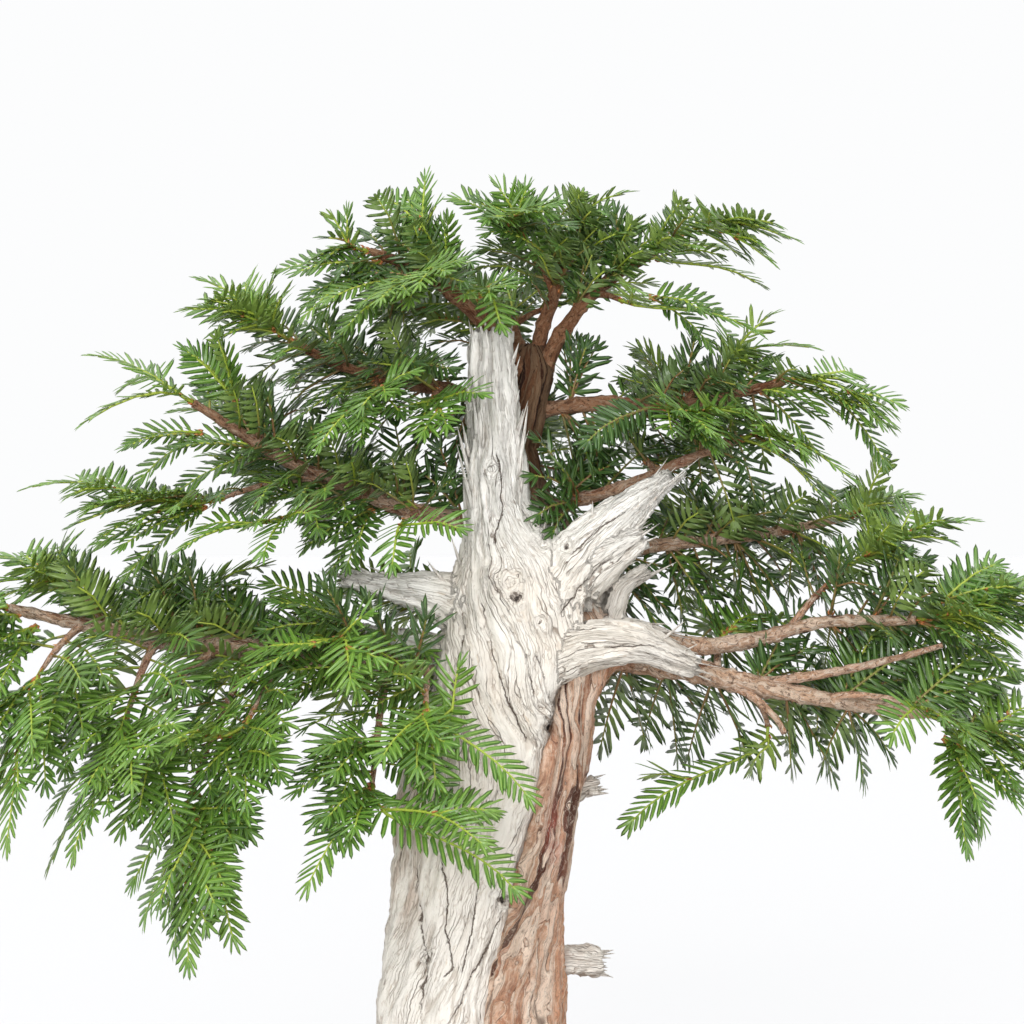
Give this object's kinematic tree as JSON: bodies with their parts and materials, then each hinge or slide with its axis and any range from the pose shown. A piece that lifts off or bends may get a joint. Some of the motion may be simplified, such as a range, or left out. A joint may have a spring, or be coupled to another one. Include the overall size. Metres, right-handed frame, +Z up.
{
  "type": "english yew bonsai in a tray pot",
  "caption": "Old yew bonsai: a bleached deadwood trunk with snags and a strip of living bark, spreading limbs with flat-needled sprays, standing in soil in a rectangular tray pot.",
  "frame": {"origin": "on the resting surface, under the middle of the tray pot and of the whole tree", "axes": "+Z up, +X to the right along the pot's long side and the widest spread of foliage, -Y to the front"},
  "size_m": [0.698, 0.3355, 0.6857],
  "materials": {
    "stoneware": "unglazed brown stoneware, fine clay grain",
    "soil": "granular brown bonsai soil with patches of moss",
    "bleached_wood": "weathered bleached deadwood with long grain, cracks and knots",
    "bark": "flaking red-brown and purple-brown yew bark",
    "needles": "glossy dark green needles on yellow-green stems"
  },
  "bodies": {
    "root": {"pot": "stoneware", "soil": "soil", "deadwood": "bleached_wood", "living_wood": "bark", "spray_crown_left_end": "needles", "spray_crown_left_top": "needles", "spray_crown_left_front": "needles", "spray_crown_left_near": "needles", "spray_crown_up_end": "needles", "spray_crown_up_left": "needles", "spray_crown_up_back": "needles", "spray_crown_right_end": "needles", "spray_crown_right_low": "needles", "spray_crown_right_back": "needles", "spray_crown_back_end": "needles", "spray_crown_back_left": "needles", "spray_crown_back_right": "needles", "spray_mid_left_end": "needles", "spray_mid_left_inner": "needles", "spray_mid_left_front": "needles", "spray_mid_left_back": "needles", "spray_third_left_end": "needles", "spray_third_left_long": "needles", "spray_third_left_low": "needles", "spray_third_left_front": "needles", "spray_third_left_back": "needles", "spray_third_left_top": "needles", "spray_low_left_end": "needles", "spray_low_left_fall": "needles", "spray_low_left_drop": "needles", "spray_low_left_hang": "needles", "spray_low_left_mid": "needles", "spray_low_left_inner": "needles", "spray_low_left_near": "needles", "spray_low_left_fan": "needles", "spray_low_left_rise": "needles", "spray_low_left_top": "needles", "spray_low_left_back": "needles", "spray_mid_right_end": "needles", "spray_mid_right_rise": "needles", "spray_mid_right_front": "needles", "spray_mid_right_back": "needles", "spray_third_right_end": "needles", "spray_third_right_back": "needles", "spray_back_right_end": "needles", "spray_back_right_mid": "needles", "spray_upper_right_end": "needles", "spray_upper_right_top": "needles", "spray_low_right_end": "needles", "spray_low_right_front": "needles", "spray_low_right_fall": "needles", "spray_low_right_back": "needles", "spray_low_right_top": "needles", "spray_mid_back_end": "needles", "spray_low_back_end": "needles", "spray_low_back_left": "needles"}
  },
  "joints": []
}
